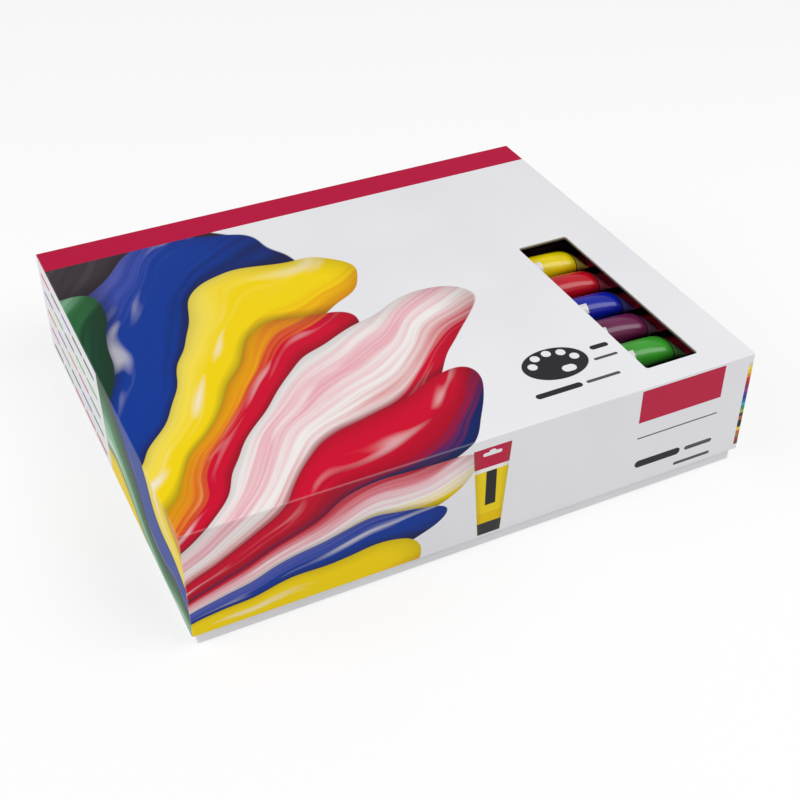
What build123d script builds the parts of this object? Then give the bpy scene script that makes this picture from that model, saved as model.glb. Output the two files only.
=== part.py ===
from build123d import *

import os
from math import cos, radians, sin, sqrt

os.makedirs("parts", exist_ok=True)

# Acrylic paint set: a rigid cardboard box with a lift-off lid and a window, and inside it
# three stacked moulded trays that hold thirty paint tubes each.
# Millimetres, +Z up, width along X, front towards -Y, origin under the middle of the lid.

# Box, outside sizes over the printed paper
LID_LENGTH = 372.0
LID_DEPTH = 310.0
LID_HEIGHT = 76.0
TOTAL_HEIGHT = 86.0
BASE_LENGTH = 365.0
BASE_DEPTH = 303.0
BASE_SHIFT_Y = -0.5

# Greyboard, the paper glued round it, and how far the paper turns in over an edge
BOARD = 2.0
PAPER = 0.25
TURN_IN = 15.0
FOLD_RADIUS = 0.9
UNDERSIDE_INSET = 1.0

# Window in the lid's top, from the middle of the box
WINDOW_X = (116.0, 154.0)
WINDOW_Y = (-139.0, 16.0)
WINDOW_CORNER_RADIUS = 2.0

# Moulded trays
TRAY_GAP = 0.5
TRAY_SHEET = 0.8
TRAY_PITCH = 26.8
TRAY_STACK_GAP = 0.1
RIDGE_TOP = 8.0
RIDGE_SKIN = 1.0
DIVIDER_TOP = 19.0
CRADLE_GAP = 0.3

# Paint tube, lying along its own X axis from the cap's end to the end of the crimped header
TUBE_RADIUS = 10.4
TUBE_LENGTH = 106.0
TUBE_AXIS_HEIGHT = 14.0
HEADER_WIDTH = 32.0
HEADER_LENGTH = 15.0
HEADER_THICKNESS = 1.4
HEADER_TILT = -16.0
HEADER_DROP = 3.0
ROUND_LENGTH = 34.0
SHOULDER_RADIUS = 7.7
SHOULDER_END = 20.5
NOZZLE_RADIUS = 4.2
NOZZLE_START = 3.0
CAP_LENGTH = 15.7
CAP_RADIUS = 8.7
CAP_END_RADIUS = 8.0
CAP_END_LENGTH = 2.0
CAP_CHAMFER = 0.8
CAP_BORE_DEPTH = 13.2
CAP_CLEARANCE = 0.05
CAP_GAP = 0.2
FLUTE_COUNT = 12
FLUTE_RADIUS = 0.8
FLUTE_CENTRE = 8.9

# How the tube flattens from its round to the crimp: its thickness tapers by this share and
# then closes bluntly, its width grows late, and it sinks at the very end
TAPER = 0.25
BLUNTNESS = 12
WIDENING = 4
SINKING = 8
FLATTENING = (0.0, 0.5, 0.78, 0.88, 0.94, 0.98, 1.0)

# How the tubes lie in a tray: two columns of ten along X on the left, five along X at the
# front right, under the window, and five along Y behind them
COLUMN_ROWS = 10
COLUMN_PITCH = 28.8
LEFT_START = -178.0
MIDDLE_START = -64.5
FRONT_ROWS = 5
FRONT_PITCH = 28.8
FRONT_START = 69.0
FRONT_BACK_ROW_Y = 8.9
BACK_TUBES = 5
BACK_PITCH = 25.2
BACK_START_Y = 28.0
BACK_MIDDLE_X = 111.3
COLUMN_DIVIDER_X = -68.0
RIGHT_DIVIDER_X = 43.5
BACK_DIVIDER_Y = 26.0
CRADLE_START = 22.0
CRADLE_LENGTH = 32.0

# Names of the tubes that have a node of their own, back to front and left to right
FRONT_COLOURS = ("yellow", "red", "blue", "plum", "green")
BACK_COLOURS = ("orange", "sky", "ochre", "pink", "white")

# Heights that follow
LID_EDGE = TOTAL_HEIGHT - LID_HEIGHT
WALL = BOARD + PAPER
LID_UNDERSIDE = TOTAL_HEIGHT - WALL
BASE_FLOOR = WALL
TRAY_LENGTH = BASE_LENGTH - 2 * (WALL + PAPER + TRAY_GAP)
TRAY_DEPTH = BASE_DEPTH - 2 * (WALL + PAPER + TRAY_GAP)


def finish(part, name):
    """Labels a finished piece and writes it under its name."""
    part.label = name
    export_step(part, f"parts/{name}.step")


def rounded_block(length, depth, low, high, radius, shift_y=0.0):
    """A block whose upright and top edges are rounded, as board folded and wrapped is."""
    with BuildPart() as block:
        with BuildSketch(Plane.XY.offset(low)):
            with Locations((0, shift_y)):
                Rectangle(length, depth)
        extrude(amount=high - low)
        fillet(block.edges().filter_by(Axis.Z), radius)
        fillet(block.edges().group_by(Axis.Z)[-1], radius)
    return block.part


def ring(outer_length, outer_depth, thickness, low, high, shift_y=0.0):
    """Four thin walls round a rectangle."""
    with BuildPart() as walls:
        with BuildSketch(Plane.XY.offset(low)):
            with Locations((0, shift_y)):
                Rectangle(outer_length, outer_depth)
                Rectangle(outer_length - 2 * thickness, outer_depth - 2 * thickness, mode=Mode.SUBTRACT)
        extrude(amount=high - low)
    return walls.part


def window_prism():
    """The space of the window, from under the lid's top to above it."""
    with BuildPart() as prism:
        with BuildSketch(Plane.XY.offset(LID_UNDERSIDE - BOARD)):
            with Locations((sum(WINDOW_X) / 2, sum(WINDOW_Y) / 2)):
                RectangleRounded(WINDOW_X[1] - WINDOW_X[0], WINDOW_Y[1] - WINDOW_Y[0], WINDOW_CORNER_RADIUS)
        extrude(amount=WALL + 2 * BOARD)
    return prism.part


# Lid: board box, open below, and its printed paper, turned in over the bottom edge
lid_board_length = LID_LENGTH - 2 * PAPER
lid_board_depth = LID_DEPTH - 2 * PAPER
lid_inner_length = LID_LENGTH - 2 * WALL
lid_inner_depth = LID_DEPTH - 2 * WALL
lid_core = rounded_block(
    lid_board_length, lid_board_depth, LID_EDGE + PAPER, TOTAL_HEIGHT - PAPER, FOLD_RADIUS - PAPER
)

with BuildPart() as lid_board:
    add(lid_core)
    with BuildSketch(Plane.XY.offset(LID_EDGE)):
        Rectangle(lid_inner_length, lid_inner_depth)
    extrude(amount=LID_UNDERSIDE - LID_EDGE, mode=Mode.SUBTRACT)
    add(window_prism(), mode=Mode.SUBTRACT)
finish(lid_board.part, "lid_board")

with BuildPart() as lid_wrap:
    add(rounded_block(LID_LENGTH, LID_DEPTH, LID_EDGE, TOTAL_HEIGHT, FOLD_RADIUS))
    add(lid_core, mode=Mode.SUBTRACT)
    with BuildSketch(Plane.XY.offset(LID_EDGE)):
        Rectangle(lid_inner_length - 2 * PAPER, lid_inner_depth - 2 * PAPER)
    extrude(amount=PAPER, mode=Mode.SUBTRACT)
    add(ring(lid_inner_length, lid_inner_depth, PAPER, LID_EDGE, LID_EDGE + TURN_IN))
    add(window_prism(), mode=Mode.SUBTRACT)
finish(lid_wrap.part, "lid_wrap")

# Base: board tray, the paper round its walls and over its rim, and the paper underneath
base_rim = LID_UNDERSIDE
base_inner_length = BASE_LENGTH - 2 * WALL
base_inner_depth = BASE_DEPTH - 2 * WALL

with BuildPart() as base_board:
    with BuildSketch(Plane.XY.offset(PAPER)):
        with Locations((0, BASE_SHIFT_Y)):
            Rectangle(BASE_LENGTH - 2 * PAPER, BASE_DEPTH - 2 * PAPER)
    extrude(amount=base_rim - 2 * PAPER)
    with BuildSketch(Plane.XY.offset(BASE_FLOOR)):
        with Locations((0, BASE_SHIFT_Y)):
            Rectangle(base_inner_length, base_inner_depth)
    extrude(amount=base_rim, mode=Mode.SUBTRACT)
finish(base_board.part, "base_board")

with BuildPart() as base_wrap:
    add(ring(BASE_LENGTH, BASE_DEPTH, PAPER, PAPER, base_rim, BASE_SHIFT_Y))
    add(ring(BASE_LENGTH, BASE_DEPTH, WALL + PAPER, base_rim - PAPER, base_rim, BASE_SHIFT_Y))
    add(ring(base_inner_length, base_inner_depth, PAPER, base_rim - TURN_IN, base_rim, BASE_SHIFT_Y))
finish(base_wrap.part, "base_wrap")

with BuildPart() as base_paper:
    with BuildSketch(Plane.XY):
        with Locations((0, BASE_SHIFT_Y)):
            Rectangle(BASE_LENGTH - 2 * UNDERSIDE_INSET, BASE_DEPTH - 2 * UNDERSIDE_INSET)
    extrude(amount=PAPER)
finish(base_paper.part, "base_underside_paper")


# Trays: a thin sheet with walls round it, and ridges that cradle the round of each tube
SHEET_LOW = TUBE_AXIS_HEIGHT - TUBE_RADIUS - CRADLE_GAP - TRAY_SHEET
FRONT_MIDDLE_Y = FRONT_BACK_ROW_Y - (FRONT_ROWS - 1) / 2 * FRONT_PITCH


def row_offsets(rows, pitch, middle):
    """Places of evenly spaced rows about their middle, from the lowest to the highest."""
    return [middle + (row - (rows - 1) / 2) * pitch for row in range(rows)]


def cradle(plane, rows, pitch, middle):
    """Hollow ridges that stand between tubes lying square to the plane."""
    places = [(offset, TUBE_AXIS_HEIGHT) for offset in row_offsets(rows, pitch, middle)]
    trough = TUBE_RADIUS + CRADLE_GAP
    ridge_height = RIDGE_TOP - SHEET_LOW
    hollow_height = ridge_height - TRAY_SHEET
    with BuildSketch(Plane.XY) as hollow:
        with Locations((middle, SHEET_LOW + hollow_height / 2)):
            Rectangle(rows * pitch - 2 * TRAY_SHEET, hollow_height)
        with Locations(*places):
            Circle(trough + RIDGE_SKIN, mode=Mode.SUBTRACT)
    with BuildPart() as ridges:
        with BuildSketch(plane):
            with Locations((middle, SHEET_LOW + ridge_height / 2)):
                Rectangle(rows * pitch, ridge_height)
            with Locations(*places):
                Circle(trough, mode=Mode.SUBTRACT)
            add(hollow.sketch, mode=Mode.SUBTRACT)
        extrude(amount=CRADLE_LENGTH)
    return ridges.part


def across(x):
    """An upright plane that faces +X, with Y across it and Z up it."""
    return Plane(origin=(x, 0, 0), x_dir=(0, 1, 0), z_dir=(1, 0, 0))


def along(y):
    """An upright plane that faces +Y, with -X across it and Z up it."""
    return Plane(origin=(0, y, 0), x_dir=(-1, 0, 0), z_dir=(0, 1, 0))


inner_length = TRAY_LENGTH - 2 * TRAY_SHEET
inner_depth = TRAY_DEPTH - 2 * TRAY_SHEET
right_width = inner_length / 2 - RIGHT_DIVIDER_X

with BuildPart() as tray:
    add(ring(TRAY_LENGTH, TRAY_DEPTH, TRAY_SHEET, 0, TRAY_PITCH - TRAY_STACK_GAP, BASE_SHIFT_Y))
    with BuildSketch(Plane.XY.offset(SHEET_LOW)):
        with Locations((0, BASE_SHIFT_Y)):
            Rectangle(inner_length, inner_depth)
    extrude(amount=TRAY_SHEET)
    with BuildSketch(Plane.XY.offset(SHEET_LOW)):
        with Locations((COLUMN_DIVIDER_X, BASE_SHIFT_Y), (RIGHT_DIVIDER_X, BASE_SHIFT_Y)):
            Rectangle(TRAY_SHEET, inner_depth)
        with Locations((RIGHT_DIVIDER_X + right_width / 2, BACK_DIVIDER_Y)):
            Rectangle(right_width, TRAY_SHEET)
    extrude(amount=DIVIDER_TOP - SHEET_LOW)
    for start in (LEFT_START, MIDDLE_START):
        add(cradle(across(start + CRADLE_START), COLUMN_ROWS, COLUMN_PITCH, BASE_SHIFT_Y))
    add(cradle(across(FRONT_START + CRADLE_START), FRONT_ROWS, FRONT_PITCH, FRONT_MIDDLE_Y))
    add(cradle(along(BACK_START_Y + CRADLE_START), BACK_TUBES, BACK_PITCH, -BACK_MIDDLE_X))


# One paint tube: threaded nozzle, shoulder, round body that flattens to a crimped header
def section(distance):
    """Half width, half thickness and drop of the tube where it flattens, from 0 to 1."""
    half_width = TUBE_RADIUS + (HEADER_WIDTH / 2 - TUBE_RADIUS) * distance**WIDENING
    closing = (1 - TAPER * distance) * sqrt(1 - distance**BLUNTNESS)
    half_thickness = max(TUBE_RADIUS * closing, HEADER_THICKNESS / 2)
    return half_width, half_thickness, -HEADER_DROP * distance**SINKING


def tube_plane(distance_along, drop):
    """A plane across the tube, turned by the header's tilt about the tube's axis."""
    tilt = radians(HEADER_TILT)
    return Plane(
        origin=(distance_along, 0, drop),
        x_dir=(0, cos(tilt), sin(tilt)),
        z_dir=(1, 0, 0),
    )


CRIMP_LINE = TUBE_LENGTH - HEADER_LENGTH

with BuildPart() as tube:
    with BuildSketch(tube_plane(ROUND_LENGTH, 0)):
        Circle(TUBE_RADIUS)
    extrude(amount=SHOULDER_END - ROUND_LENGTH)
    for step in FLATTENING:
        half_width, half_thickness, drop = section(step)
        with BuildSketch(tube_plane(ROUND_LENGTH + step * (CRIMP_LINE - ROUND_LENGTH), drop)):
            Ellipse(half_width, half_thickness)
    loft(ruled=True)
    with BuildSketch(tube_plane(CRIMP_LINE, -HEADER_DROP)):
        Rectangle(HEADER_WIDTH, HEADER_THICKNESS)
    extrude(amount=HEADER_LENGTH)
    with BuildSketch(Plane.XZ):
        with BuildLine():
            Polyline(
                (NOZZLE_START, 0),
                (NOZZLE_START, NOZZLE_RADIUS),
                (CAP_LENGTH + CAP_GAP, NOZZLE_RADIUS),
                (CAP_LENGTH + CAP_GAP, SHOULDER_RADIUS),
                (SHOULDER_END, TUBE_RADIUS),
                (SHOULDER_END, 0),
                close=True,
            )
        make_face()
    revolve(axis=Axis.X)

# Screw cap: a fluted cup that turns on the nozzle, with a plain end
with BuildPart() as cap:
    with BuildSketch(Plane.XZ):
        with BuildLine():
            Polyline(
                (0, 0),
                (0, CAP_END_RADIUS - CAP_CHAMFER),
                (CAP_CHAMFER, CAP_END_RADIUS),
                (CAP_END_LENGTH, CAP_END_RADIUS),
                (CAP_END_LENGTH, 0),
                close=True,
            )
        make_face()
    revolve(axis=Axis.X)
    with BuildSketch(Plane.YZ.offset(CAP_END_LENGTH)):
        Circle(CAP_RADIUS)
        with PolarLocations(FLUTE_CENTRE, FLUTE_COUNT):
            Circle(FLUTE_RADIUS, mode=Mode.SUBTRACT)
    extrude(amount=CAP_LENGTH - CAP_END_LENGTH)
    with BuildSketch(Plane.YZ.offset(CAP_LENGTH)):
        Circle(NOZZLE_RADIUS + CAP_CLEARANCE)
    extrude(amount=-CAP_BORE_DEPTH, mode=Mode.SUBTRACT)


# Places of the tubes in a tray whose underside is at the given height
def column_places(start, rows, pitch, middle, base):
    """Tubes along X, one behind another, from the back row to the front row."""
    rows_back_first = reversed(row_offsets(rows, pitch, middle))
    return [Location((start, y, base + TUBE_AXIS_HEIGHT)) for y in rows_back_first]


def back_places(base):
    """Tubes along Y behind the window, from left to right."""
    columns = row_offsets(BACK_TUBES, BACK_PITCH, BACK_MIDDLE_X)
    return [Location((x, BACK_START_Y, base + TUBE_AXIS_HEIGHT), (0, 0, 90)) for x in columns]


def copies(piece, places, name):
    """Writes one node that holds a copy of the piece at each place."""
    with BuildPart() as group:
        with Locations(*places):
            add(piece)
    finish(group.part, name)


for level, tray_name in enumerate(("bottom", "middle", "top")):
    base = BASE_FLOOR + level * TRAY_PITCH
    copies(tray.part, [Location((0, 0, base))], f"tray_{tray_name}")
    left = column_places(LEFT_START, COLUMN_ROWS, COLUMN_PITCH, BASE_SHIFT_Y, base)
    middle = column_places(MIDDLE_START, COLUMN_ROWS, COLUMN_PITCH, BASE_SHIFT_Y, base)
    front = column_places(FRONT_START, FRONT_ROWS, FRONT_PITCH, FRONT_MIDDLE_Y, base)
    back = back_places(base)
    if tray_name != "top":
        copies(tube.part, left, f"{tray_name}_tubes_left")
        copies(tube.part, middle, f"{tray_name}_tubes_middle")
        copies(tube.part, front + back, f"{tray_name}_tubes_right")
        copies(cap.part, left + middle + front + back, f"{tray_name}_caps")
        continue
    for number, place in enumerate(left, 1):
        copies(tube.part, [place], f"tube_left_{number:02d}")
    for number, place in enumerate(middle, 1):
        copies(tube.part, [place], f"tube_middle_{number:02d}")
    for colour, place in zip(FRONT_COLOURS + BACK_COLOURS, front + back):
        copies(tube.part, [place], f"tube_{colour}")
        copies(cap.part, [place], f"cap_{colour}")
    copies(cap.part, left, "caps_left")
    copies(cap.part, middle, "caps_middle")
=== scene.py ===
# %% [markdown]
# An acrylic paint set in a rigid cardboard box. The lid lifts off the base, and a window cut
# in its top shows the paint tubes that lie in three stacked moulded trays.
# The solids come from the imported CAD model, which is loaded first as a fixed frame. The box,
# the trays and the screw caps keep their CAD shapes and get finishes here. The paint tubes are
# made again as smooth meshes, because a tube that flattens to a crimp is all soft curves.

# %% Load the frame
import math

import bmesh
import bpy
import numpy as np
from mathutils import Matrix, Vector


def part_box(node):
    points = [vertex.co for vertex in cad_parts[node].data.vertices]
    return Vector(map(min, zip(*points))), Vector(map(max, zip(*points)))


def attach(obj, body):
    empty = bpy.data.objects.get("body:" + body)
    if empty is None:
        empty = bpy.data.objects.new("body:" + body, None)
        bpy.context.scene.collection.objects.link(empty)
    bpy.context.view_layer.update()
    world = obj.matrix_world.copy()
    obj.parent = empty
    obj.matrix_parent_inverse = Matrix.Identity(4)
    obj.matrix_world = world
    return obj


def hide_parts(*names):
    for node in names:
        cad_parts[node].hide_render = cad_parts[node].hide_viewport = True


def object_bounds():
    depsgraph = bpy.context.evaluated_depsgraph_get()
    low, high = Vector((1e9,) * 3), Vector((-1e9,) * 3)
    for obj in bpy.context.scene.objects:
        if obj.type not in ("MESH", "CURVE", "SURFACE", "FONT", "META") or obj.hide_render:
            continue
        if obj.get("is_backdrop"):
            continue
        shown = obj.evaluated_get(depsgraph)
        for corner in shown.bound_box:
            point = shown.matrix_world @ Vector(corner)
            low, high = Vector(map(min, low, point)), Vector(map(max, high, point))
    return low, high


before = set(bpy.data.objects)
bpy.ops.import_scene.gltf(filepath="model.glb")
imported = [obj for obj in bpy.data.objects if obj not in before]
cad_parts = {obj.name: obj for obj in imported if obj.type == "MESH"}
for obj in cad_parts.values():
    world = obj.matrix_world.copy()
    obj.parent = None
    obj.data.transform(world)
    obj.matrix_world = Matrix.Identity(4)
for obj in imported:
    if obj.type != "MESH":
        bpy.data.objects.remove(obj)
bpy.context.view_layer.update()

MM = 0.001

# %% [markdown]
# The printed places on the box are given in millimetres, as a printer's drawing would give
# them, and the box's own sides are read from the frame so that the print follows the solids.

# %% Measure the box
lid_low, lid_high = (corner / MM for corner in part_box("lid_wrap"))
LEFT, FRONT, LID_EDGE = lid_low
RIGHT, BACK, TOP = lid_high
PAPER = 0.25
print("lid outside in mm:", *(round(high - low) for low, high in zip(lid_low, lid_high)))

# %% [markdown]
# Colours are written as sRGB hex values, as they are read off a colour chart, and Blender
# works in linear light, so one function turns the one into the other. Every material is
# built from nodes, and one function adds a node with its settings, inputs and colour stops.

# %% Helpers for materials


def linear(hex_colour):
    """An sRGB hex colour as Blender's linear RGBA."""
    parts = [int(hex_colour[i : i + 2], 16) / 255 for i in (1, 3, 5)]
    return (*[p / 12.92 if p <= 0.04045 else ((p + 0.055) / 1.055) ** 2.4 for p in parts], 1.0)


def result(node):
    """The first output of a node that its settings leave in use."""
    return next(socket for socket in node.outputs if socket.enabled)


def add(tree, kind, inputs=None, stops=None, **settings):
    """Adds one shader node, makes its settings, and links or sets its inputs."""
    node = tree.nodes.new("ShaderNode" + kind)
    for name, value in settings.items():
        setattr(node, name, value)
    sockets = [socket for socket in node.inputs if socket.enabled]
    for key, value in (inputs or {}).items():
        if isinstance(key, int):
            socket = sockets[key]
        else:
            socket = next(s for s in sockets if s.name == key)
        if isinstance(value, bpy.types.Node):
            value = result(value)
        if isinstance(value, bpy.types.NodeSocket):
            tree.links.new(value, socket)
        else:
            socket.default_value = value
    for number, (position, colour) in enumerate(stops or []):
        elements = node.color_ramp.elements
        element = elements[number] if number < 2 else elements.new(position)
        element.position = position
        element.color = colour
    return node


def new_material(name, **constants):
    """A material with one Principled shader, whose constant sockets are set here."""
    material = bpy.data.materials.new(name)
    material.use_nodes = True
    shader = material.node_tree.nodes["Principled BSDF"]
    for socket, value in constants.items():
        shader.inputs[socket.replace("_", " ")].default_value = value
    return material, material.node_tree, shader


def place_in_mm(tree):
    """The place on an object in its own coordinates, in millimetres."""
    inputs = {0: add(tree, "TexCoord").outputs["Object"], 1: (1 / MM,) * 3}
    return add(tree, "VectorMath", inputs, operation="MULTIPLY")


def plug(tree, shader, colour=None, bump=None, roughness=None):
    """Links the last nodes of a finish to its shader."""
    ends = (("Base Color", colour), ("Normal", bump), ("Roughness", roughness))
    for socket, node in ends:
        if node is not None:
            tree.links.new(result(node), shader.inputs[socket])


def dress(node, material):
    """Puts a material on a CAD node's own slots."""
    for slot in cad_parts[node].material_slots:
        slot.material = material


print("sRGB grey #808080 in linear light:", round(linear("#808080")[0], 3))

# %% [markdown]
# The box is greyboard wrapped in printed art paper with a silk laminate. Greyboard is made
# from pulped waste paper, so it is a warm grey with fibres and small dark specks. It shows
# only where it is cut: on the edges of the window and inside the lid and the base. Its outer
# ply, about a millimetre, is pale; below that ply the board is painted a much darker grey,
# which is painted shade for the cut edges and the inside of the box.

# %% Greyboard
FIBRE, FIBRE_RELIEF = 1.2, 0.06
PALE_PLY, PLY_BLEND = 1.1, 0.2
greyboard, tree, shader = new_material("greyboard_pulped_and_pressed", Roughness=0.9)
in_mm = place_in_mm(tree)
fibres = add(
    tree, "TexNoise", {"Vector": in_mm, "Scale": 1 / FIBRE, "Detail": 4.0, "Roughness": 0.7}
)
board_colour = add(
    tree,
    "ValToRGB",
    {"Fac": fibres},
    stops=[(0.28, linear("#8F877B")), (0.42, linear("#B4AC9F")), (0.7, linear("#C6BFB3"))],
)
height = add(tree, "SeparateXYZ", {0: in_mm}).outputs[2]
ply_foot = TOP - PALE_PLY
# The board under its pale top ply is painted dark grey: painted shade for cut edges and the box's
# inside.
painted_shade_below_ply = add(
    tree, "MapRange", {"Value": height, "From Min": ply_foot, "From Max": ply_foot - PLY_BLEND}
)
board_colour = add(
    tree,
    "Mix",
    {"Factor": painted_shade_below_ply, "A": board_colour, "B": linear("#4E4842")},
    data_type="RGBA",
)
board_bump = add(tree, "Bump", {"Height": fibres, "Strength": 0.5, "Distance": FIBRE_RELIEF * MM})
plug(tree, shader, board_colour, board_bump)
for node in ("lid_board", "base_board"):
    dress(node, greyboard)
print("greyboard on the boards of lid and base, fibres", FIBRE, "mm")

# %% [markdown]
# The paper is coated and laminated: smooth, nearly white, with a soft sheen. The board under
# it is never quite flat, so a very low, wide bump makes the faces look like board and not like
# plastic. The laminate's grain is drawn coarser than it is, so that it shows at all. The same
# sheet without print covers the base.

# %% White laminated paper
PAPER_WHITE, PAPER_SHADE = "#EDEDF0", "#E9E9ED"
WAVE, WAVE_RELIEF = 70.0, 0.5
GRAIN, GRAIN_RELIEF = 0.8, 0.02
SHEEN_LEVEL = 0.14


def paper_surface(tree, shader):
    """Gives a shader the bare paper's bump; returns the place in millimetres and the tone."""
    in_mm = place_in_mm(tree)
    wave = add(tree, "TexNoise", {"Vector": in_mm, "Scale": 1 / WAVE, "Detail": 1.0})
    grain = add(tree, "TexNoise", {"Vector": in_mm, "Scale": 1 / GRAIN, "Detail": 2.0})
    stops = [(0.3, linear(PAPER_SHADE)), (0.7, linear(PAPER_WHITE))]
    tone = add(tree, "ValToRGB", {"Fac": wave}, stops=stops)
    low = add(tree, "Bump", {"Height": wave, "Strength": 0.6, "Distance": WAVE_RELIEF * MM})
    fine = add(
        tree,
        "Bump",
        {"Height": grain, "Strength": 0.25, "Distance": GRAIN_RELIEF * MM, "Normal": low},
    )
    plug(tree, shader, bump=fine)
    return in_mm, tone


white_paper, tree, shader = new_material(
    "art_paper_white_silk_laminate", Roughness=0.5, Specular_IOR_Level=SHEEN_LEVEL
)
_, paper_tone = paper_surface(tree, shader)
plug(tree, shader, paper_tone)
for node in ("base_wrap", "base_underside_paper"):
    dress(node, white_paper)
print("white paper on the base")

# %% [markdown]
# The lid's paper is printed in one flat sheet and then folded round the board, so its picture
# runs on over the edges. The shader does the same: it unfolds the left and front faces into
# the plane of the top, and then everything is drawn in that flat sheet, in millimetres.

# %% Unfold the lid's sheet
printed_paper, print_tree, print_shader = new_material(
    "art_paper_printed_silk_laminate", Roughness=0.46, Specular_IOR_Level=SHEEN_LEVEL
)
tree = print_tree
sheet_mm, sheet_tone = paper_surface(tree, print_shader)
x, y, z = add(tree, "SeparateXYZ", {0: sheet_mm}).outputs
on_left = add(tree, "Math", {0: x, 1: LEFT + PAPER}, operation="LESS_THAN")
on_right = add(tree, "Math", {0: x, 1: RIGHT - PAPER}, operation="GREATER_THAN")
on_front = add(tree, "Math", {0: y, 1: FRONT + PAPER}, operation="LESS_THAN")
on_back = add(tree, "Math", {0: y, 1: BACK - PAPER}, operation="GREATER_THAN")
on_top = add(tree, "Math", {0: z, 1: TOP - 3 * PAPER}, operation="GREATER_THAN")
depth = add(tree, "Math", {0: TOP, 1: z}, operation="SUBTRACT")
left_fall = add(tree, "Math", {0: on_left, 1: depth}, operation="MULTIPLY")
front_fall = add(tree, "Math", {0: on_front, 1: depth}, operation="MULTIPLY")
flat_x = add(tree, "Math", {0: x, 1: left_fall}, operation="SUBTRACT")
flat_y = add(tree, "Math", {0: y, 1: front_fall}, operation="SUBTRACT")
flat = add(tree, "CombineXYZ", {0: flat_x, 1: flat_y})
print("the sheet unfolds to", round(RIGHT - LEFT + TOP - LID_EDGE), "mm across left face and top")

# %% [markdown]
# The large picture is of thick wet paint. This one is a plain fan of paint strokes that sweep
# out from the near left corner. Polar coordinates about a point beyond that corner turn each
# stroke into a simple patch: an angle, a width and a length. Two noises shift the place first,
# so that the edges wander as thick paint does.

# %% Bend the sheet for the strokes
FAN_X, FAN_Y = -262.0, -282.0
SWIRL = 0.05
WIDE_WANDER, WIDE_SHIFT = 125.0, 40.0
FINE_WANDER, FINE_SHIFT = 38.0, 6.5
moved = flat
for wander, shift in ((WIDE_WANDER, WIDE_SHIFT), (FINE_WANDER, FINE_SHIFT)):
    noise = add(tree, "TexNoise", {"Vector": flat, "Scale": 1 / wander, "Detail": 0.0})
    inputs = {0: noise.outputs["Color"], 1: (0.5,) * 3}
    centred = add(tree, "VectorMath", inputs, operation="SUBTRACT")
    inputs = {0: centred, 1: (2 * shift, 2 * shift, 0)}
    scaled = add(tree, "VectorMath", inputs, operation="MULTIPLY")
    moved = add(tree, "VectorMath", {0: moved, 1: scaled}, operation="ADD")
from_fan = add(tree, "VectorMath", {0: moved, 1: (FAN_X, FAN_Y, 0)}, operation="SUBTRACT")
reach = add(tree, "VectorMath", {0: from_fan}, operation="LENGTH")
arms = add(tree, "SeparateXYZ", {0: from_fan})
turn = add(tree, "Math", {0: arms.outputs[1], 1: arms.outputs[0]}, operation="ARCTAN2")
degrees = add(tree, "Math", {0: turn, 1: math.degrees(1)}, operation="MULTIPLY")
angle = add(tree, "Math", {0: reach, 1: SWIRL, 2: degrees}, operation="MULTIPLY_ADD")
print("strokes fan out from", (FAN_X, FAN_Y), "mm")

# %% [markdown]
# Along each stroke run fine bristle lines and long pale glints, as on glossy wet paint. They
# are noises stretched in the polar coordinates, so that they follow the stroke round its bend.

# %% Bristle lines and glints
BRISTLE_LENGTH, BRISTLE_DEGREES = 160, 0.9
GLINT_LENGTH, GLINT_DEGREES = 55, 2.2
GLINT_START, GLINT_FULL = 0.5, 0.72


def stroke_noise(length, width, detail):
    """A noise drawn out along the strokes, its grain so many mm long and degrees wide."""
    along = add(print_tree, "Math", {0: reach, 1: 1 / length}, operation="MULTIPLY")
    across = add(print_tree, "Math", {0: angle, 1: 1 / width}, operation="MULTIPLY")
    place = add(print_tree, "CombineXYZ", {0: along, 1: across})
    return add(print_tree, "TexNoise", {"Vector": place, "Scale": 1.0, "Detail": detail})


bristles = stroke_noise(BRISTLE_LENGTH, BRISTLE_DEGREES, 2.0)
glints = stroke_noise(GLINT_LENGTH, GLINT_DEGREES, 1.0)
glint_strength = add(
    tree, "MapRange", {"Value": glints, "From Min": GLINT_START, "From Max": GLINT_FULL}
)
print("bristle lines every", BRISTLE_DEGREES, "degrees of the fan")

# %% [markdown]
# Each stroke is one line of the table below: its middle angle and half width in degrees, its
# length in millimetres, and the paints from its one side to the other.

# %% Table of the strokes
CHARCOAL, CHARCOAL_PALE = "#3A3238", "#5A5257"
RED, RED_DEEP, ROSE = "#D0002D", "#A80024", "#EBA9B4"
YELLOW, AMBER, LEMON = "#F6D600", "#F0A400", "#FAE45A"
BLUE, BLUE_DEEP, BLUE_PALE = "#053796", "#0A2566", "#5560B8"
GREEN, GREEN_DEEP, GREEN_PALE = "#2D6E3C", "#12402A", "#8FC3A0"
CREAM = "#F4F1EF"
STROKES = (
    (101.0, 21.0, 470.0, (CHARCOAL, CHARCOAL, CHARCOAL_PALE, CHARCOAL)),
    (86.0, 9.0, 445.0, (BLUE_DEEP, BLUE, BLUE, BLUE_PALE)),
    (96.0, 6.5, 395.0, (GREEN_DEEP, GREEN, GREEN_PALE, GREEN)),
    (104.0, 4.5, 350.0, (YELLOW, YELLOW, AMBER, GREEN)),
    (76.0, 5.5, 430.0, (AMBER, YELLOW, YELLOW, LEMON)),
    (68.5, 6.0, 375.0, (RED_DEEP, RED, RED, AMBER)),
    (60.0, 7.0, 410.0, (RED, CREAM, ROSE, CREAM)),
    (50.5, 5.0, 355.0, (BLUE_DEEP, RED_DEEP, RED, RED)),
    (43.0, 5.0, 275.0, (YELLOW, CREAM, ROSE, RED)),
    (20.5, 7.5, 190.0, (CHARCOAL, CHARCOAL, CHARCOAL_PALE, CHARCOAL)),
    (36.5, 5.5, 240.0, (BLUE_DEEP, BLUE, BLUE, BLUE_PALE)),
    (30.0, 6.5, 212.0, (AMBER, YELLOW, YELLOW, YELLOW)),
    (23.0, 4.0, 175.0, (GREEN_DEEP, GREEN, GREEN_PALE, GREEN)),
)
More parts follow.
